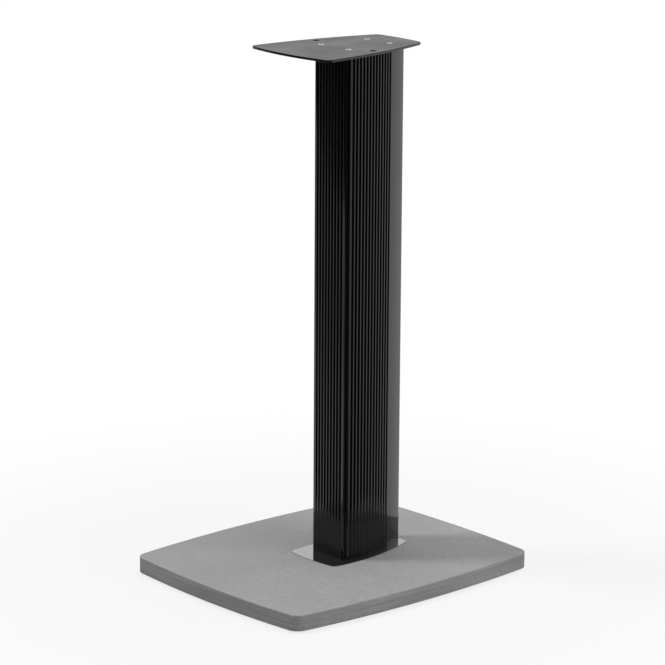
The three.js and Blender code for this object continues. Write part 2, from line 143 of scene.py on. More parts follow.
# Feet: disc, threaded stem, sole with its rings, and the bush in the slab
FOOT_RECESS = 17
DISC_RADIUS = 16
DISC_EDGE = 0.8
STEM_RADIUS = 4
STEM_ROOT = 3.45
STEM_CHAMFER = 0.5
THREAD_PITCH = 1.25
# One ring of the thread: how high over its start the crest, the flank and the root end
THREAD_ENDS = (0.15, 0.6, 0.75)
# Where the stem meets the disc: how far out and up it widens
STEM_FOOT = (0.6, 0.2)
# How far from the disc the thread starts, and how far from the tip it has ended
THREAD_START = 0.5
THREAD_STOP = 0.6
SOLE_RADIUS = 15
SOLE_HUB = 3
SOLE_RINGS = (6, 9, 12)
# Half a ring's width, at its mouth and at its floor
SOLE_RING_HALF = (0.5, 0.35)
SOLE_RELIEF = 0.4
BUSH_RADIUS = 6
BUSH_BORE = 4.3

# The photograph's camera
CAMERA_PLACE = (2908.4, -2575.2, 1287.05)
CAMERA_AZIMUTH = math.radians(48.501)
CAMERA_PITCH = math.radians(14.149)
CAMERA_ROLL = math.radians(-0.342)
CAMERA_LENS = 176.35
SENSOR = 36
CLIP_END = 60

# The way from that camera to the pale backdrop behind the object
BACKDROP_WAY = (-math.sin(CAMERA_AZIMUTH), math.cos(CAMERA_AZIMUTH), 0)

# How far along that way, as a cosine, the painted reflections that mirrors see in the world and the
# floor turn pale or dark
PALE_BEHIND = (0.15, 0.45)
PALE_AHEAD = (-0.6, -0.3)
FLOOR_DARKENS = (-0.5, -0.2)
FLOOR_DARK = 0.03
FLOOR_HALF = 9.0

# The painted reflection that mirrors see of the floor ahead of the object, as a glow: depth in
# metres, level
FLOOR_FALL = ((-0.3, 1.0), (-0.6, 0.9), (-0.9, 0.55), (-1.2, 0.55), (-1.65, 0.85), (-1.78, 0.05),
              (-2.4, 0.03))

FEET = ("front_left", "front_right", "back_left", "back_right")


# ---------------------------------------------------------------- outlines

def bow_circle(a, b, bow):
    """The circle through a and b that bulges by the bow, to the right of the way from a to b."""
    chord = b - a
    radius = (chord.length_squared / 4 + bow * bow) / (2 * bow)
    outward = Vector((chord.y, -chord.x)).normalized()
    return (a + b) / 2 + outward * (bow - radius), radius


def circles_meet(c1, r1, c2, r2, near):
    """Where two circles meet, of both places the one nearer to the given point."""
    between = c2 - c1
    gap = between.length
    along = (r1 * r1 - r2 * r2 + gap * gap) / (2 * gap)
    across = math.sqrt(max(r1 * r1 - along * along, 0))
    foot = c1 + between * (along / gap)
    side = Vector((-between.y, between.x)) * (across / gap)
    return min((foot + side, foot - side), key=lambda p: (p - near).length)


def angle_of(v):
    return math.atan2(v.y, v.x)


def outline_arcs(form, inset=0.0):
    """Arcs as (centre, radius, start, sweep), from the left end of the front, counter-clockwise."""
    front, back = form["front"], form["back"]
    half_front, half_back = form["half_front"], form["half_back"]
    corners = [Vector((-half_front, front)), Vector((half_front, front)),
               Vector((half_back, back)), Vector((-half_back, back))]
    front_radius, back_radius = form["radii"]
    fillets = [front_radius, front_radius, back_radius, back_radius]
    sides = [bow_circle(corners[i], corners[(i + 1) % 4], bow)
             for i, bow in enumerate(form["bows"])]
    radii = [max(r - inset, LEAST_RADIUS) for r in fillets]
    pivots = []
    for i, corner in enumerate(corners):
        before, after = sides[i - 1], sides[i]
        shrink = inset + radii[i]
        pivots.append(circles_meet(before[0], before[1] - shrink,
                                   after[0], after[1] - shrink, corner))
    arcs = []
    for i, (centre, radius) in enumerate(sides):
        following = (i + 1) % 4
        start = angle_of(pivots[i] - centre)
        end = angle_of(pivots[following] - centre)
        turn = angle_of(pivots[following] - sides[following][0])
        arcs.append((centre, radius - inset, start, (end - start) % math.tau))
        arcs.append((pivots[following], radii[following], end, (turn - end) % math.tau))
    return arcs


def arc_point(arc, share):
    centre, radius, start, sweep = arc
    outward = Vector((math.cos(start + sweep * share), math.sin(start + sweep * share)))
    return centre + outward * radius, outward


def outline(form, inset=0.0):
    points = []
    for index, arc in enumerate(outline_arcs(form, inset)):
        steps = CORNER_STEPS if index % 2 else BOW_STEPS
        points += [arc_point(arc, i / steps)[0] for i in range(steps)]
    return points


def arc_length(arc):
    return arc[1] * arc[3]


def along_outline(arcs, distance):
    """Point and outward direction at a distance round from the middle of the front."""
    left = distance + arc_length(arcs[0]) / 2
    for arc in arcs:
        length = arc_length(arc)
        if left <= length:
            return arc_point(arc, left / length)
        left -= length
    return arc_point(arcs[0], 0)


def half_girth(arcs):
    """Distance from the middle of the front round to the middle of the back."""
    between = sum(arc_length(arc) for arc in arcs[1:4])
    return arc_length(arcs[0]) / 2 + between + arc_length(arcs[4]) / 2


def flute_middles(arcs):
    """How far round from the middle of the front the flutes of one half stand."""
    corner = arc_length(arcs[0]) / 2 + arc_length(arcs[1]) / 2
    first = corner + CORNER_LEAD
    ahead = int((corner - CORNER_LEAD) // FLUTE_PITCH)
    along = int((FLUTED_REACH - FLUTE_WIDTH / 2 - first) // FLUTE_PITCH)
    return ([i * FLUTE_PITCH for i in range(ahead + 1)] + [corner]
            + [first + i * FLUTE_PITCH for i in range(along + 1)])


def fluted_outline(form):
    """The pillar's outer section: rounded flutes round the front and flanks, smooth at the rear."""
    arcs = outline_arcs(form)
    mouth = FLUTE_SECTION[-1][0]
    stations = []
    before = None
    for middle in flute_middles(arcs):
        if before is not None:
            land = middle - before - 2 * mouth
            steps = max(round(land / LAND_STEP), 1)
            stations += [(before + mouth + land * i / steps, 0.0) for i in range(1, steps)]
        stations += [(middle - offset, depth) for offset, depth in FLUTE_SECTION[::-1]]
        stations += [(middle + offset, depth) for offset, depth in FLUTE_SECTION]
        before = middle
    stations = [s for s in stations if s[0] > 0]
    flutes_end = before + mouth
    girth = half_girth(arcs)
    rear = girth - flutes_end
    stations += [(flutes_end + rear * i / REAR_STEPS, 0.0) for i in range(1, REAR_STEPS + 1)]
    right = []
    for distance, depth in stations:
        point, outward = along_outline(arcs, distance)
        right.append(point - outward * depth)
    left = [Vector((-p.x, p.y)) for p in right[:-1]]
    return right + left[::-1]


# ---------------------------------------------------------------- meshes

def new_object(name, bm):
    bmesh.ops.recalc_face_normals(bm, faces=bm.faces)
    mesh = bpy.data.meshes.new(name)
    bm.to_mesh(mesh)
    bm.free()
    return shown(name, mesh)


def shown(name, mesh):
    mesh.shade_smooth()
    mesh.set_sharp_from_angle(angle=SMOOTH_ANGLE)
    piece = bpy.data.objects.new(name, mesh)
    bpy.context.scene.collection.objects.link(piece)
    return piece


def ring(bm, points, z):
    return [bm.verts.new((p[0] * MM, p[1] * MM, z * MM)) for p in points]


def wall(bm, low, high):
    count = len(low)
    for i in range(count):
        bm.faces.new((low[i], low[(i + 1) % count], high[(i + 1) % count], high[i]))


def ring_edges(bm, loop):
    pairs = zip(loop, loop[1:] + loop[:1])
    return [bm.edges.get(pair) or bm.edges.new(pair) for pair in pairs]


def cap(bm, loops):
    """Fills the flat area between an outer loop and the loops inside it."""
    edges = [edge for loop in loops for edge in ring_edges(bm, loop)]
    bmesh.ops.triangle_fill(bm, use_beauty=True, use_dissolve=False, edges=edges)


def circle(at, radius, sides=ROUND_SIDES):
    turns = [math.tau * i / sides for i in range(sides)]
    return [Vector((at[0] + radius * math.cos(turn), at[1] + radius * math.sin(turn)))
            for turn in turns]


def stack(bm, levels):
    """Walls through a list of (points, z) from one end to the other; gives the two end rings."""
    rings = [ring(bm, points, z) for points, z in levels]
    for low, high in zip(rings, rings[1:]):
        wall(bm, low, high)
    return rings[0], rings[-1]


def edge_profile(low, high, edge):
    """(inset, z) pairs up a side whose two edges are rounded, with a support line on each cap."""
    pairs = [(edge + SUPPORT, low)]
    turns = [math.pi / 2 * i / EDGE_STEPS for i in range(EDGE_STEPS + 1)]
    for turn in turns:
        pairs.append((edge * (1 - math.sin(turn)), low + edge * (1 - math.cos(turn))))
    for turn in turns:
        pairs.append((edge * (1 - math.cos(turn)), high - edge * (1 - math.sin(turn))))
    pairs.append((edge + SUPPORT, high))
    return pairs


def prism(name, points, low, high):
    bm = bmesh.new()
    bottom = ring(bm, points, low)
    top = ring(bm, points, high)
    wall(bm, bottom, top)
    bm.faces.new(bottom[::-1])
    bm.faces.new(top)
    return new_object(name, bm)


def block(name, across, along, upright):
    """A box from its (low, high) pairs in X, Y and Z."""
    (left, right), (front, back) = across, along
    return prism(name, [(left, front), (right, front), (right, back), (left, back)], *upright)


def turned(name, profile, at, sides=ROUND_SIDES):
    """A body turned about an upright axis, from (radius, z) pairs that begin and end on it."""
    bm = bmesh.new()
    rings = []
    for radius, z in profile:
        if radius == 0:
            rings.append([bm.verts.new((at[0] * MM, at[1] * MM, z * MM))])
        else:
            rings.append(ring(bm, circle(at, radius, sides), z))
    for low, high in zip(rings, rings[1:]):
        if len(low) == 1:
            for i in range(sides):
                bm.faces.new((low[0], high[(i + 1) % sides], high[i]))
        elif len(high) == 1:
            for i in range(sides):
                bm.faces.new((low[i], low[(i + 1) % sides], high[0]))
        else:
            wall(bm, low, high)
    return new_object(name, bm)


def closed_turn(name, profile, at):
    """A ring turned about an upright axis, from (radius, z) pairs that close on themselves."""
    bm = bmesh.new()
    rings = [ring(bm, circle(at, radius), z) for radius, z in profile]
    for low, high in zip(rings, rings[1:] + rings[:1]):
        wall(bm, low, high)
    return new_object(name, bm)


def combine(body, tool, operation):
    """Applies a boolean with the tool, and deletes the tool."""
    modifier = body.modifiers.new("combine", "BOOLEAN")
    modifier.operation = operation
    modifier.solver = "EXACT"
    modifier.object = tool
    bpy.context.view_layer.update()
    depsgraph = bpy.context.evaluated_depsgraph_get()
    mesh = bpy.data.meshes.new_from_object(body.evaluated_get(depsgraph))
    body.modifiers.clear()
    old = body.data
    body.data = mesh
    bpy.data.meshes.remove(old)
    remove(tool)


def remove(piece):
    """Deletes an object and its mesh."""
    mesh = piece.data
    bpy.data.objects.remove(piece)
    bpy.data.meshes.remove(mesh)


def finish_mesh(piece):
    """Joins points that a boolean left double, and shades the mesh anew."""
    bm = bmesh.new()
    bm.from_mesh(piece.data)
    bmesh.ops.remove_doubles(bm, verts=bm.verts, dist=MERGE_DISTANCE)
    bmesh.ops.dissolve_degenerate(bm, edges=bm.edges, dist=MERGE_DISTANCE)
    bm.to_mesh(piece.data)
    bm.free()
    piece.data.shade_smooth()
    piece.data.set_sharp_from_angle(angle=SMOOTH_ANGLE)


# ---------------------------------------------------------------- places, from the frame

def box_mm(node):
    low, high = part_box(node)
    return low / MM, high / MM


def centre_of(node):
    low, high = box_mm(node)
    return ((low.x + high.x) / 2, (low.y + high.y) / 2)


def levels_of(node):
    low, high = box_mm(node)
    return low.z, high.z


PORTS = {foot: centre_of("top_screw_" + foot) for foot in FEET}
FOOT_PLACES = {foot: centre_of("foot_glide_" + foot) for foot in FEET}


# ---------------------------------------------------------------- pieces

def place(piece, node, body, material, slot):
    """Gives a piece its material and its body, and hides the node that it replaces. The slot is not
    used.
    """
    piece.data.materials.clear()
    piece.data.materials.append(material)
    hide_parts(node)
    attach(piece, body)


def blind_hole(bm, at, radius, mouth, floor, inner):
    """A recess from below with a narrower hole in its roof.

    inner holds that hole's radius, its top and whether it is closed there.
    """
    rim = ring(bm, circle(at, radius + RECESS_BEVEL), mouth)
    neck = ring(bm, circle(at, radius), mouth + RECESS_BEVEL)
    roof = ring(bm, circle(at, radius), floor)
    wall(bm, rim, neck)
    wall(bm, neck, roof)
    inner_radius, inner_top, closed = inner
    low = ring(bm, circle(at, inner_radius), floor)
    high = ring(bm, circle(at, inner_radius), inner_top)
    cap(bm, [roof, low])
    wall(bm, low, high)
    if closed:
        cap(bm, [high])
        return rim
    return rim, high


def make_slab(material):
    low, high = levels_of("base_slab")
    pocket_floor = levels_of("base_insert_plate")[0]
    bolt_roof = levels_of("base_washer_front_left")[1]
    recess_roof, bush_top = levels_of("foot_bush_front_left")
    bm = bmesh.new()
    profile = edge_profile(low, high, SLAB_EDGE)
    bottom, top = stack(bm, [(outline(SLAB, inset), z) for inset, z in profile])
    mouth, floor = stack(bm, [(outline(INSERT, -FIT_GAP - POCKET_BEVEL), high),
                              (outline(INSERT, -FIT_GAP), high - POCKET_BEVEL),
                              (outline(INSERT, -FIT_GAP), pocket_floor)])
    cap(bm, [top, mouth])
    below, through = [], []
    for at in PORTS.values():
        bore = (BOLT_BORE, pocket_floor, False)
        rim, shaft = blind_hole(bm, at, BOLT_RECESS, low, bolt_roof, bore)
        below.append(rim)
        through.append(shaft)
    cap(bm, [floor] + through)
    for at in FOOT_PLACES.values():
        seat = (BUSH_RADIUS + FIT_GAP, bush_top + FIT_GAP, True)
        below.append(blind_hole(bm, at, FOOT_RECESS, low, recess_roof, seat))
    cap(bm, [bottom] + below)
    place(new_object("slab", bm), "base_slab", "stand", material, "slab")


def make_insert(material):
    low, high = levels_of("base_insert_plate")
    bm = bmesh.new()
    profile = edge_profile(low, high, INSERT_EDGE)
    bottom, top = stack(bm, [(outline(INSERT, inset), z) for inset, z in profile])
    below, above = [], []
    for at in PORTS.values():
        a, b = stack(bm, [(circle(at, BOLT_BORE), low), (circle(at, BOLT_BORE), high)])
        below.append(a)
        above.append(b)
    cap(bm, [bottom] + below)
    cap(bm, [top] + above)
    piece = new_object("insert_plate", bm)
    place(piece, "base_insert_plate", "stand", material, "polished_plate")


def make_top_plate(material):
    low, high = levels_of("top_plate")
    seat = levels_of("top_screw_front_left")[1]
    throat = seat - (COUNTERSINK_RADIUS - SCREW_HOLE_RADIUS)
    bm = bmesh.new()
    profile = edge_profile(low, high, PLATE_EDGE)
    bottom, top = stack(bm, [(outline(PLATE, inset), z) for inset, z in profile])
    below, above = [], []
    for at in PORTS.values():
        a, b = stack(bm, [(circle(at, SCREW_HOLE_RADIUS), low),
                          (circle(at, SCREW_HOLE_RADIUS), throat),
                          (circle(at, COUNTERSINK_RADIUS), seat),
                          (circle(at, COUNTERSINK_RADIUS), high - COUNTERSINK_BEVEL),
                          (circle(at, COUNTERSINK_RADIUS + COUNTERSINK_BEVEL), high)])
        below.append(a)
        above.append(b)
    for at in SPEAKER_HOLES:
        a, b = stack(bm, [(circle(at, SPEAKER_HOLE_RADIUS + HOLE_BEVEL), low),
                          (circle(at, SPEAKER_HOLE_RADIUS), low + HOLE_BEVEL),
                          (circle(at, SPEAKER_HOLE_RADIUS), high - HOLE_BEVEL),
                          (circle(at, SPEAKER_HOLE_RADIUS + HOLE_BEVEL), high)])
        below.append(a)
        above.append(b)
    cap(bm, [bottom] + below)
    cap(bm, [top] + above)
    place(new_object("top_plate_sheet", bm), "top_plate", "stand", material, "top_plate")


def make_pillar(material):
    low, high = levels_of("pillar_profile")
    under, over = low - OVERRUN, high + OVERRUN
    deep, tall = under - OVERRUN / 2, over + OVERRUN / 2
    body = prism("pillar", fluted_outline(PILLAR), low, high)
    hollow = prism("hollow", outline(PILLAR, PILLAR_WALL), under, over)
    combine(hollow, block("ahead", (-PAST, PAST), (-PAST, WEB_FRONT), (deep, tall)), "INTERSECT")
    channel = prism("channel", outline(PILLAR, CHANNEL_WALL), under, over)
    combine(channel, block("behind", (-PAST, PAST), (WEB_BACK, PAST), (deep, tall)), "INTERSECT")
    for space in (hollow, channel):
        for at in PORTS.values():
            combine(space, prism("post", circle(at, PORT_RADIUS), deep, tall), "DIFFERENCE")
    combine(body, hollow, "DIFFERENCE")
    combine(body, channel, "DIFFERENCE")
    mouth = COVER_LEG_OUT + FIT_GAP
    rebate = COVER_HALF + FIT_GAP
    for half, ahead in ((mouth, COVER_LEG_TIP - FIT_GAP), (rebate, COVER_SEAT - FIT_GAP)):
        combine(body, block("opening", (-half, half), (ahead, PAST), (deep, tall)), "DIFFERENCE")
    core_low = levels_of("base_bolt_front_left")[1] + PORT_RUN_OUT
    core_high = levels_of("top_screw_front_left")[0] - PORT_RUN_OUT
    profile = [(0, under), (BOLT_BORE, under), (BOLT_BORE, core_low), (PORT_CORE, core_low),
               (PORT_CORE, core_high), (SCREW_HOLE_RADIUS, core_high),
               (SCREW_HOLE_RADIUS, over), (0, over)]
    for at in PORTS.values():
        combine(body, turned("core", profile, at, CORE_SIDES), "DIFFERENCE")
    finish_mesh(body)
    place(body, "pillar_profile", "stand", material, "pillar")


def make_cover(material):
    low, high = levels_of("rear_cable_cover")
    arcs = outline_arcs(PILLAR)
    girth = half_girth(arcs)
    back = [along_outline(arcs, girth - COVER_STRETCH * (1 - i / COVER_STEPS))[0]
            for i in range(COVER_STEPS + 1)]
    back = [point for point in back if point.x < COVER_HALF]
    back = back[::COVER_STRIDE] + back[-1:]
    leg = [Vector((COVER_LEG_IN, COVER_SEAT)), Vector((COVER_LEG_IN, COVER_LEG_TIP)),
           Vector((COVER_LEG_OUT, COVER_LEG_TIP)), Vector((COVER_LEG_OUT, COVER_SEAT))]
    half = leg + [Vector((COVER_HALF, COVER_SEAT))] + back[:-1]
    mirrored = [Vector((-p.x, p.y)) for p in half]
    section = half + [back[-1]] + mirrored[::-1]
    piece = prism("cable_cover", section, low, high)
    place(piece, "rear_cable_cover", "rear_cover", material, "cover")


def cut_socket(piece, at, across, low, high):
    """A hexagon socket, given by its width across flats."""
    combine(piece, prism("key", circle(at, across / math.sqrt(3), 6), low, high), "DIFFERENCE")
    finish_mesh(piece)


def make_top_screw(foot, material):
    node = "top_screw_" + foot
    low, high = levels_of(node)
    at = PORTS[foot]
    neck = high - (SCREW_HEAD_RADIUS - SCREW_RADIUS)
    profile = [(0, low), (SCREW_TIP_RADIUS, low),
               (SCREW_RADIUS, low + SCREW_RADIUS - SCREW_TIP_RADIUS), (SCREW_RADIUS, neck)]
    profile += [(SCREW_HEAD_RADIUS - inward, high - down) for inward, down in SCREW_RIM]
    profile += [(SCREW_TIP_RADIUS, high), (0, high)]
    piece = turned("deck_screw_" + foot, profile, at)
    cut_socket(piece, at, SCREW_SOCKET, high - SCREW_SOCKET_DEPTH, high + OVERRUN)
    place(piece, node, "stand", material, "top_screws")


def make_base_bolt(foot, material):
    node = "base_bolt_" + foot
    low, high = levels_of(node)
    at = PORTS[foot]
    seat = low + BOLT_HEAD_HEIGHT
    head = BOLT_HEAD_RADIUS
    edge = 0.4
    burr = 0.1
    third = edge / 3
    profile = [(0, low), (BOLT_FACE_RADIUS, low), (head - edge, low), (head - third, low + third),
               (head, low + edge), (head, seat - burr), (head - burr, seat), (BOLT_RADIUS, seat),
               (BOLT_RADIUS, high - (BOLT_RADIUS - BOLT_TIP_RADIUS)), (BOLT_TIP_RADIUS, high),
               (0, high)]
    piece = turned("slab_bolt_" + foot, profile, at)
    cut_socket(piece, at, BOLT_SOCKET, low - OVERRUN, low + BOLT_SOCKET_DEPTH)
    place(piece, node, "stand", material, "base_bolts")


def make_washer(foot, material):
    node = "base_washer_" + foot
    low, high = levels_of(node)
    rim = WASHER_RADIUS
    edge = 0.15
    profile = [(BOLT_BORE, low), (rim - edge, low), (rim, low + edge), (rim, high - edge),
               (rim - edge, high), (BOLT_BORE, high)]
    piece = closed_turn("slab_washer_" + foot, profile, PORTS[foot])
    place(piece, node, "stand", material, "washers")


def make_bush(foot, material):
    node = "foot_bush_" + foot
    low, high = levels_of(node)
    rim = BUSH_RADIUS
    edge = 0.4
    profile = [(BUSH_BORE + edge, low), (rim - edge, low), (rim, low + edge), (rim, high - edge),
               (rim - edge, high), (BUSH_BORE, high), (BUSH_BORE, low + edge)]
    piece = closed_turn("thread_bush_" + foot, profile, FOOT_PLACES[foot])
    place(piece, node, "stand", material, "bushes")


def make_glide(foot, material):
    node = "foot_glide_" + foot
    low, high = levels_of(node)
    disc_top = levels_of("foot_bush_" + foot)[0] - FIT_GAP
    rim = DISC_RADIUS
    edge = DISC_EDGE
    third = edge / 3
    wider, raised = STEM_FOOT
    crest, flank, root = THREAD_ENDS
    profile = [(0, low), (rim - edge, low), (rim - third, low + third), (rim, low + edge),
               (rim, disc_top - edge), (rim - third, disc_top - third), (rim - edge, disc_top),
               (STEM_RADIUS + wider, disc_top), (STEM_RADIUS, disc_top + raised)]
    z = disc_top + THREAD_START
    while z + THREAD_PITCH < high - THREAD_STOP:
        profile += [(STEM_RADIUS, z), (STEM_RADIUS, z + crest),
                    (STEM_ROOT, z + flank), (STEM_ROOT, z + root)]
        z += THREAD_PITCH
    profile += [(STEM_RADIUS, high - STEM_CHAMFER), (STEM_RADIUS - STEM_CHAMFER, high), (0, high)]
    piece = turned("glide_disc_" + foot, profile, FOOT_PLACES[foot])
    place(piece, node, "foot_" + foot, material, "glides")


def make_sole(foot, material):
    node = "foot_sole_" + foot
    low, high = levels_of(node)
    edge = 0.3
    groove = low + SOLE_RELIEF
    mouth, floor = SOLE_RING_HALF
    profile = [(0, groove), (SOLE_HUB, groove), (SOLE_HUB + edge, low)]
    for radius in SOLE_RINGS:
        profile += [(radius - mouth, low), (radius - floor, groove),
                    (radius + floor, groove), (radius + mouth, low)]
    profile += [(SOLE_RADIUS - edge, low), (SOLE_RADIUS, low + edge), (SOLE_RADIUS, high),
                (0, high)]
    piece = turned("rubber_sole_" + foot, profile, FOOT_PLACES[foot])
    place(piece, node, "foot_" + foot, material, "soles")


# ---------------------------------------------------------------- materials

class Nodes:
    """Short names for the nodes that the materials below use."""

    def __init__(self, name):
        self.material = bpy.data.materials.new(name)
        self.material.use_nodes = True
        self.tree = self.material.node_tree
        self.shader = self.tree.nodes["Principled BSDF"]
        self.place = self.tree.nodes.new("ShaderNodeTexCoord").outputs["Object"]

    def link(self, a, b):
        self.tree.links.new(a, b)

    def set(self, **values):
        for key, value in values.items():
            self.shader.inputs[key.replace("_", " ")].default_value = value

    def stretched(self, scale):
        node = self.tree.nodes.new("ShaderNodeMapping")
        node.inputs["Scale"].default_value = scale
        self.link(self.place, node.inputs["Vector"])
        return node.outputs["Vector"]

    def noise(self, scale, detail=4.0, roughness=0.55, vector=None):
        node = self.tree.nodes.new("ShaderNodeTexNoise")
        node.inputs["Scale"].default_value = scale
        node.inputs["Detail"].default_value = detail
        node.inputs["Roughness"].default_value = roughness
        self.link(vector or self.place, node.inputs["Vector"])
        return node.outputs["Fac"]

    def cells(self, scale):
        node = self.tree.nodes.new("ShaderNodeTexVoronoi")
        node.inputs["Scale"].default_value = scale
        self.link(self.place, node.inputs["Vector"])
        return node.outputs["Distance"]

    def span(self, value, low, high, out_low, out_high):
        node = self.tree.nodes.new("ShaderNodeMapRange")
        node.interpolation_type = "SMOOTHSTEP"
        numbers = {"From Min": low, "From Max": high, "To Min": out_low, "To Max": out_high}
        for key, number in numbers.items():
            node.inputs[key].default_value = number
        self.link(value, node.inputs["Value"])
        return node.outputs["Result"]

    def math(self, operation, a, b):
        node = self.tree.nodes.new("ShaderNodeMath")
        node.operation = operation
        for index, value in enumerate((a, b)):
            if isinstance(value, (int, float)):
                node.inputs[index].default_value = value
            else:
                self.link(value, node.inputs[index])
        return node.outputs[0]

    def mix(self, factor, dark, light):
        node = self.tree.nodes.new("ShaderNodeMix")
        node.data_type = "RGBA"
        self.link(factor, node.inputs["Factor"])
        for key, value in (("A", dark), ("B", light)):
            found = [s for s in node.inputs if s.name == key and s.type == "RGBA"][0]
            if isinstance(value, (tuple, float, int)):
                found.default_value = grey(value) if isinstance(value, (float, int)) else value
            else:
                self.link(value, found)
        return [s for s in node.outputs if s.type == "RGBA"][0]

    def bump(self, height, distance, strength=1.0, under=None):
        node = self.tree.nodes.new("ShaderNodeBump")
        node.inputs["Distance"].default_value = distance
        node.inputs["Strength"].default_value = strength
        self.link(height, node.inputs["Height"])
        if under is not None:
            self.link(under, node.inputs["Normal"])
        return node.outputs["Normal"]

    def upward(self):
        """How much the surface faces up: 1 on a top face, 0 on a side."""
        geometry = self.tree.nodes.new("ShaderNodeNewGeometry")
        split = self.tree.nodes.new("ShaderNodeSeparateXYZ")
        self.link(geometry.outputs["Normal"], split.inputs[0])
        return self.math("ABSOLUTE", split.outputs["Z"], 0.0)

    def use(self, colour=None, roughness=None, normal=None):
        for value, key in ((colour, "Base Color"), (roughness, "Roughness"), (normal, "Normal")):
            if value is not None:
                self.link(value, self.shader.inputs[key])
        return self.material


def grey(value):
    return (value, value, value, 1.0)


def concrete():
    n = Nodes("cast_slab")
    n.set(Specular_IOR_Level=0.35)
    clouds = n.noise(7, 5, 0.6)
    blotches = n.noise(45, 5, 0.6)
    grain = n.noise(420, 3, 0.6)
    sand = n.noise(1800, 2, 0.5)
    tone = n.math("ADD", n.math("MULTIPLY", clouds, 0.45), n.math("MULTIPLY", blotches, 0.55))
    base = n.mix(n.span(tone, 0.35, 0.65, 0, 1), 0.283, 0.362)
    sandy = n.mix(n.span(sand, 0.3, 0.7, 0, 1), 0.245, 0.298)
    speckled = n.mix(n.span(grain, 0.3, 0.72, 0, 1), sandy, base)
    streaks = n.noise(1.0, 4, 0.6, n.stretched((9, 9, 420)))
    side = n.math("SUBTRACT", 1.0, n.span(n.upward(), 0.2, 0.7, 0, 1))
    streaky_side = n.math("MULTIPLY", side, n.span(streaks, 0.4, 0.62, 0, 1))
    streak_share = n.math("MULTIPLY", streaky_side, 0.55)
    toned = n.mix(streak_share, speckled, 0.19)
    pores = n.cells(210)
    pore_size = n.span(n.noise(90, 2), 0.5, 0.72, 0.0, 0.13)
    pore = n.math("LESS_THAN", pores, pore_size)
    # Painted shade: the pores are drawn darker, standing in for the shade inside the pits
    colour = n.mix(n.math("MULTIPLY", pore, 0.55), toned, 0.11)
    coarse = n.math("ADD", n.math("MULTIPLY", grain, 0.5), n.math("MULTIPLY", sand, 0.25))
    relief = n.math("SUBTRACT", coarse, pore)
    lower = n.bump(blotches, 0.0006, 0.25)
    roughness = n.span(blotches, 0.3, 0.7, 0.62, 0.82)
    return n.use(colour, roughness, n.bump(relief, 0.00016, 0.7, lower))


def polished_steel():
    n = Nodes("polished_steel")
    n.set(Metallic=0.975)
    smears = n.noise(30, 4, 0.6, n.stretched((1, 3, 1)))
    lines = n.noise(1.0, 3, 0.6, n.stretched((60, 1800, 60)))
    colour = n.mix(smears, 0.40, 0.44)
    return n.use(colour, n.span(smears, 0.3, 0.75, 0.035, 0.09), n.bump(lines, 0.00001, 0.35))


def black_anodised(name, level=0.003):
    """Dyed aluminium: dark, with a shine at its surface and faint lines along the extrusion."""
    n = Nodes(name)
    n.set(IOR=1.5)
    dye = n.noise(12, 4, 0.6)
    lines = n.noise(1.0, 3, 0.65, n.stretched((2600, 2600, 2.2)))
    colour = n.mix(dye, level * 0.7, level * 1.3)
    rub = n.span(n.noise(26, 4, 0.65, n.stretched((1, 1, 0.25))), 0.3, 0.75, 0.07, 0.11)
    return n.use(colour, rub, n.bump(lines, 0.000005, 0.4))


def black_powder():
    n = Nodes("satin_paint")
    n.set(IOR=1.5)
    peel = n.noise(620, 2, 0.5)
    specks = n.noise(2600, 2, 0.5)
    wear = n.noise(18, 5, 0.6)
    colour = n.mix(wear, 0.006, 0.012)
    soft = n.bump(peel, 0.00004, 0.3)
    face = n.span(n.upward(), 0.4, 0.9, 0, 1)
    rubbed = n.span(wear, 0.3, 0.7, 0.06, 0.16)
    roughness = n.math("ADD", n.math("MULTIPLY", face, 0.26), rubbed)
    return n.use(colour, roughness, n.bump(specks, 0.00001, 0.5, soft))


def metal(name, level, rough, tint=(1, 1, 1)):
    n = Nodes(name)
    n.set(Metallic=1.0)
    tarnish = n.noise(220, 4, 0.6)
    light = tuple(level * t for t in tint) + (1.0,)
    dark = tuple(level * 0.72 * t for t in tint) + (1.0,)
    colour = n.mix(n.span(tarnish, 0.3, 0.7, 0, 1), dark, light)
    scratches = n.noise(1.0, 3, 0.6, n.stretched((400, 5200, 400)))
    roughness = n.span(tarnish, 0.25, 0.75, rough * 0.75, rough * 1.3)
    return n.use(colour, roughness, n.bump(scratches, 0.00002, 0.35))


def rubber():
    n = Nodes("sole_rubber")
    n.set(Specular_IOR_Level=0.3)
    dust = n.noise(160, 4, 0.6)
    pebble = n.cells(2400)
    colour = n.mix(n.span(dust, 0.45, 0.8, 0, 1), 0.012, 0.045)
    return n.use(colour, n.span(dust, 0.3, 0.7, 0.7, 0.92), n.bump(pebble, 0.00006, 0.35))


# ---------------------------------------------------------------- studio

def seen(tree):
    """1 for what the camera, mirrors and glass see, 0 for the light that falls on things."""
    path = tree.nodes.new("ShaderNodeLightPath")
    total = path.outputs["Is Camera Ray"]
    for name in ("Is Glossy Ray", "Is Transmission Ray"):
        node = tree.nodes.new("ShaderNodeMath")
        node.operation = "MAXIMUM"
        tree.links.new(total, node.inputs[0])
        tree.links.new(path.outputs[name], node.inputs[1])
        total = node.outputs[0]
    return total


def camera_ray(tree):
    """1 for what the camera sees, 0 for all other rays."""
    return tree.nodes.new("ShaderNodeLightPath").outputs["Is Camera Ray"]


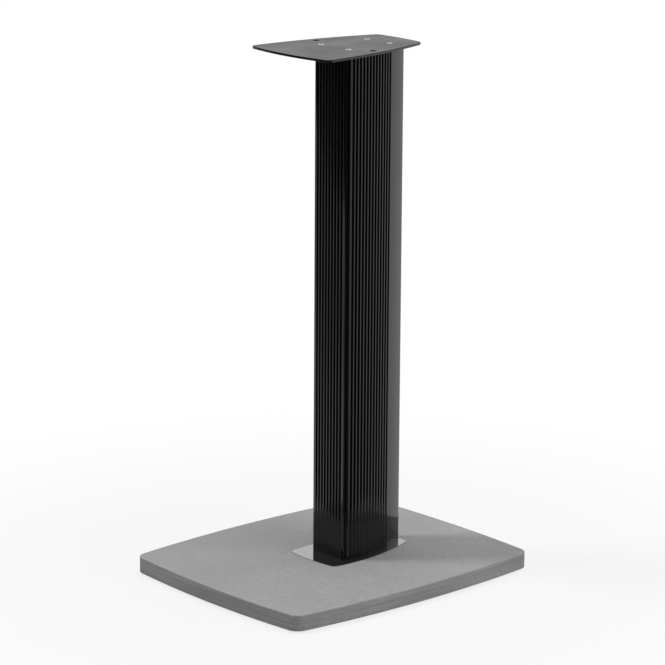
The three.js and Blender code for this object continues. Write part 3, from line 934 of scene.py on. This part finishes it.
def make_world(fill, aside, ahead, behind):
    """White to the eye. Mirrors see a painted reflection in it, apart from the flat fill that
    lights things: pale behind the object, dimmer ahead, dark at the sides.
    """
    world = bpy.data.worlds.new("studio")
    bpy.context.scene.world = world
    world.use_nodes = True
    tree = world.node_tree

    def joined(kind, *values):
        node = tree.nodes.new("ShaderNode" + kind)
        for socket, value in zip(node.inputs, values):
            if isinstance(value, bpy.types.NodeSocket):
                tree.links.new(value, socket)
            else:
                socket.default_value = value
        return node

    direction = tree.nodes.new("ShaderNodeTexCoord").outputs["Generated"]
    onward = joined("VectorMath", direction, BACKDROP_WAY)
    onward.operation = "DOT_PRODUCT"
    way = onward.outputs["Value"]
    back_half = joined("MapRange", way, *PALE_BEHIND, aside, behind).outputs["Result"]
    side = joined("MapRange", way, *PALE_AHEAD, ahead, back_half).outputs["Result"]
    to_camera = joined("MapRange", camera_ray(tree), 0.0, 1.0, side, 1.0).outputs["Result"]
    strength = joined("MapRange", seen(tree), 0.0, 1.0, fill, to_camera).outputs["Result"]
    background = tree.nodes["Background"]
    tree.links.new(strength, background.inputs["Strength"])
    background.inputs["Color"].default_value = grey(1.0)


def make_floor(tone, near, far, least_white, fall):
    """A pale floor that keeps the object's shadow, and is white to the eye beyond its reach.

    Mirrors see a painted glow on it, not its lit surface: a painted reflection that fades out
    towards the front and on the camera's side, where the studio is dark.
    From below it is clear, so that it doesn't hide the underside.
    """
    mesh = bpy.data.meshes.new("floor")
    far_edge = FLOOR_HALF
    corners = [(-far_edge, -far_edge, 0), (far_edge, -far_edge, 0),
               (far_edge, far_edge, 0), (-far_edge, far_edge, 0)]
    mesh.from_pydata(corners, [], [(0, 1, 2, 3)])
    floor = bpy.data.objects.new("floor", mesh)
    bpy.context.scene.collection.objects.link(floor)
    material = bpy.data.materials.new("floor")
    material.use_nodes = True
    tree = material.node_tree
    tree.nodes.clear()

    def new(kind, **inputs):
        node = tree.nodes.new("ShaderNode" + kind)
        for key, value in inputs.items():
            socket = node.inputs[key.replace("_", " ")]
            if isinstance(value, bpy.types.NodeSocket):
                tree.links.new(value, socket)
            else:
                socket.default_value = value
        return node

    spot = new("TexCoord").outputs["Object"]
    distance = new("VectorMath")
    distance.operation = "LENGTH"
    tree.links.new(spot, distance.inputs[0])
    away = new("MapRange", Value=distance.outputs["Value"], From_Min=near, From_Max=far)
    away.interpolation_type = "SMOOTHSTEP"
    least = new("MapRange", Value=camera_ray(tree), To_Min=1.0, To_Max=least_white)
    white_share = new("MapRange", Value=away.outputs["Result"], To_Max=1.0)
    tree.links.new(least.outputs["Result"], white_share.inputs["To Min"])
    share = new("Math")
    share.operation = "MULTIPLY"
    tree.links.new(seen(tree), share.inputs[0])
    tree.links.new(white_share.outputs["Result"], share.inputs[1])
    depth = new("SeparateXYZ", Vector=spot).outputs["Y"]
    ramp = tree.nodes.new("ShaderNodeValToRGB")
    ramp.color_ramp.interpolation = "LINEAR"
    start = fall[-1][0]
    reach = fall[0][0] - start
    position = new("MapRange", Value=depth, From_Min=start, From_Max=fall[0][0])
    tree.links.new(position.outputs["Result"], ramp.inputs["Fac"])
    while len(ramp.color_ramp.elements) < len(fall):
        ramp.color_ramp.elements.new(0.5)
    for element, (y, level) in zip(ramp.color_ramp.elements, fall[::-1]):
        element.position = (y - start) / reach
        element.color = grey(level)
    outward = new("VectorMath", Vector=spot)
    outward.operation = "NORMALIZE"
    onward = tree.nodes.new("ShaderNodeVectorMath")
    onward.operation = "DOT_PRODUCT"
    tree.links.new(outward.outputs["Vector"], onward.inputs[0])
    onward.inputs[1].default_value = BACKDROP_WAY
    dark, pale = FLOOR_DARKENS
    beside = new("MapRange", Value=onward.outputs["Value"], From_Min=dark, From_Max=pale,
                 To_Min=FLOOR_DARK)
    level = new("Math")
    level.operation = "MULTIPLY"
    tree.links.new(ramp.outputs["Color"], level.inputs[0])
    tree.links.new(beside.outputs["Result"], level.inputs[1])
    to_camera = new("MapRange", Value=camera_ray(tree), To_Max=1.0)
    tree.links.new(level.outputs[0], to_camera.inputs["To Min"])
    diffuse = new("BsdfDiffuse", Color=grey(tone))
    # The glow: white to the camera, and to mirrors at the painted reflection level
    glow = new("Emission", Color=grey(1.0), Strength=to_camera.outputs["Result"])
    both = new("MixShader", Fac=share.outputs[0])
    tree.links.new(diffuse.outputs[0], both.inputs[1])
    tree.links.new(glow.outputs[0], both.inputs[2])
    one_sided = new("MixShader", Fac=new("NewGeometry").outputs["Backfacing"])
    tree.links.new(both.outputs[0], one_sided.inputs[1])
    tree.links.new(new("BsdfTransparent").outputs[0], one_sided.inputs[2])
    output = new("OutputMaterial")
    tree.links.new(one_sided.outputs[0], output.inputs["Surface"])
    mesh.materials.append(material)


def make_lamp(name, place, target, size, power):
    light = bpy.data.lights.new(name, "AREA")
    light.energy = power
    light.shape = "SQUARE"
    light.size = size
    lamp = bpy.data.objects.new(name, light)
    lamp.location = place
    lamp.rotation_euler = (Vector(target) - Vector(place)).to_track_quat("-Z", "Y").to_euler()
    bpy.context.scene.collection.objects.link(lamp)
    lamp.visible_camera = False
    return lamp


def make_camera():
    """The camera that the photograph was taken with, as fitted to the outlines in it."""
    data = bpy.data.cameras.new("camera")
    data.lens = CAMERA_LENS
    data.sensor_width = SENSOR
    data.clip_end = CLIP_END
    forward = Vector((-math.sin(CAMERA_AZIMUTH) * math.cos(CAMERA_PITCH),
                      math.cos(CAMERA_AZIMUTH) * math.cos(CAMERA_PITCH), -math.sin(CAMERA_PITCH)))
    right = Vector((math.cos(CAMERA_AZIMUTH), math.sin(CAMERA_AZIMUTH), 0))
    down = forward.cross(right)
    across = right * math.cos(CAMERA_ROLL) + down * math.sin(CAMERA_ROLL)
    up = right * math.sin(CAMERA_ROLL) - down * math.cos(CAMERA_ROLL)
    camera = bpy.data.objects.new("camera", data)
    camera.matrix_world = Matrix.Translation(Vector(CAMERA_PLACE) * MM) @ Matrix(
        (across, up, -forward)).transposed().to_4x4()
    bpy.context.scene.collection.objects.link(camera)
    bpy.context.scene.camera = camera


make_camera()
make_world(fill=0.25, aside=0.05, ahead=0.42, behind=0.85)
make_floor(tone=0.62, near=0.3, far=0.8, least_white=0.8, fall=FLOOR_FALL)
make_lamp("key", (-1.25, -1.4, 3.6), (0, 0, 0.1), size=0.55, power=66)
make_lamp("overhead", (0.3, 0.5, 3.0), (0, 0, 0), size=2.2, power=52)
right_fill = make_lamp("right_fill", (2.6, 0.9, 1.2), (0, 0, 0.1), size=1.8, power=24)
right_fill.visible_glossy = False
bpy.context.scene.view_settings.view_transform = "Standard"

slab_look = concrete()
anodised = black_anodised("black_anodised")
cover_look = black_anodised("black_anodised_cover", level=0.0035)
zinc = metal("zinc_screws", level=0.95, rough=0.22)
oxide = metal("black_oxide", level=0.09, rough=0.35)
washer_steel = metal("washer_steel", level=0.5, rough=0.3)
brass = metal("bush_brass", level=0.6, rough=0.3, tint=(1.0, 0.78, 0.45))
glide_steel = metal("glide_steel", level=0.45, rough=0.32)
sole_rubber = rubber()

make_slab(slab_look)
make_insert(polished_steel())
make_top_plate(black_powder())
make_pillar(anodised)
make_cover(cover_look)
for foot in FEET:
    make_top_screw(foot, zinc)
    make_base_bolt(foot, oxide)
    make_washer(foot, washer_steel)
    make_bush(foot, brass)
    make_glide(foot, glide_steel)
    make_sole(foot, sole_rubber)
